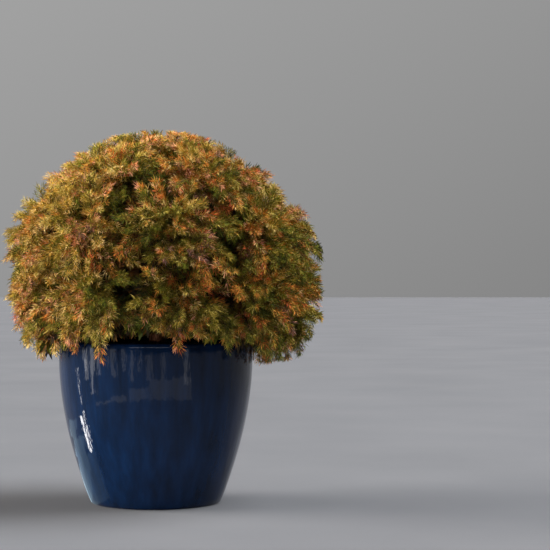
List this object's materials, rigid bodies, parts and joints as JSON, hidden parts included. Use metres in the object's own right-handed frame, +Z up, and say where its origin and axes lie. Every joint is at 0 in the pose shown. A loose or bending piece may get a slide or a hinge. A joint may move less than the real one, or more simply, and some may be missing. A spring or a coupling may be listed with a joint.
{
  "type": "potted japanese cedar",
  "caption": "Dense globe of a dwarf conifer in bronze, orange and green winter foliage, standing in a tall round glazed pot in dark blue.",
  "frame": {"origin": "middle of the pot's flat underside, on the surface that it stands on", "axes": "+Z up, along the height of pot and plant; -Y is the side that the picture shows; +X is to the right in the picture"},
  "size_m": [0.8021, 0.7834, 0.9323],
  "materials": {
    "glazed_pot": "dark blue glaze, glossy and slightly streaked",
    "potting_soil": "dark crumbly compost with bits of bark, matt",
    "bark": "reddish brown bark in narrow peeling strips, matt",
    "needles": "short needles in olive green, gold, orange and bronze red, satin"
  },
  "bodies": {
    "root": {"pot": "glazed_pot", "soil": "potting_soil", "trunk": "bark", "bough_top": "bark", "foliage_top": "needles", "bough_upper_1": "bark", "foliage_upper_1": "needles", "bough_upper_2": "bark", "foliage_upper_2": "needles", "bough_upper_3": "bark", "foliage_upper_3": "needles", "bough_upper_4": "bark", "foliage_upper_4": "needles", "bough_upper_5": "bark", "foliage_upper_5": "needles", "bough_middle_1": "bark", "foliage_middle_1": "needles", "bough_middle_2": "bark", "foliage_middle_2": "needles", "bough_middle_3": "bark", "foliage_middle_3": "needles", "bough_middle_4": "bark", "foliage_middle_4": "needles", "bough_middle_5": "bark", "foliage_middle_5": "needles", "bough_middle_6": "bark", "foliage_middle_6": "needles", "bough_middle_7": "bark", "foliage_middle_7": "needles", "bough_middle_8": "bark", "foliage_middle_8": "needles", "bough_lower_1": "bark", "foliage_lower_1": "needles", "bough_lower_2": "bark", "foliage_lower_2": "needles", "bough_lower_3": "bark", "foliage_lower_3": "needles", "bough_lower_4": "bark", "foliage_lower_4": "needles", "bough_lower_5": "bark", "foliage_lower_5": "needles", "bough_lower_6": "bark", "foliage_lower_6": "needles", "bough_lower_7": "bark", "foliage_lower_7": "needles", "bough_lower_8": "bark", "foliage_lower_8": "needles", "bough_lower_9": "bark", "foliage_lower_9": "needles"}
  },
  "joints": []
}
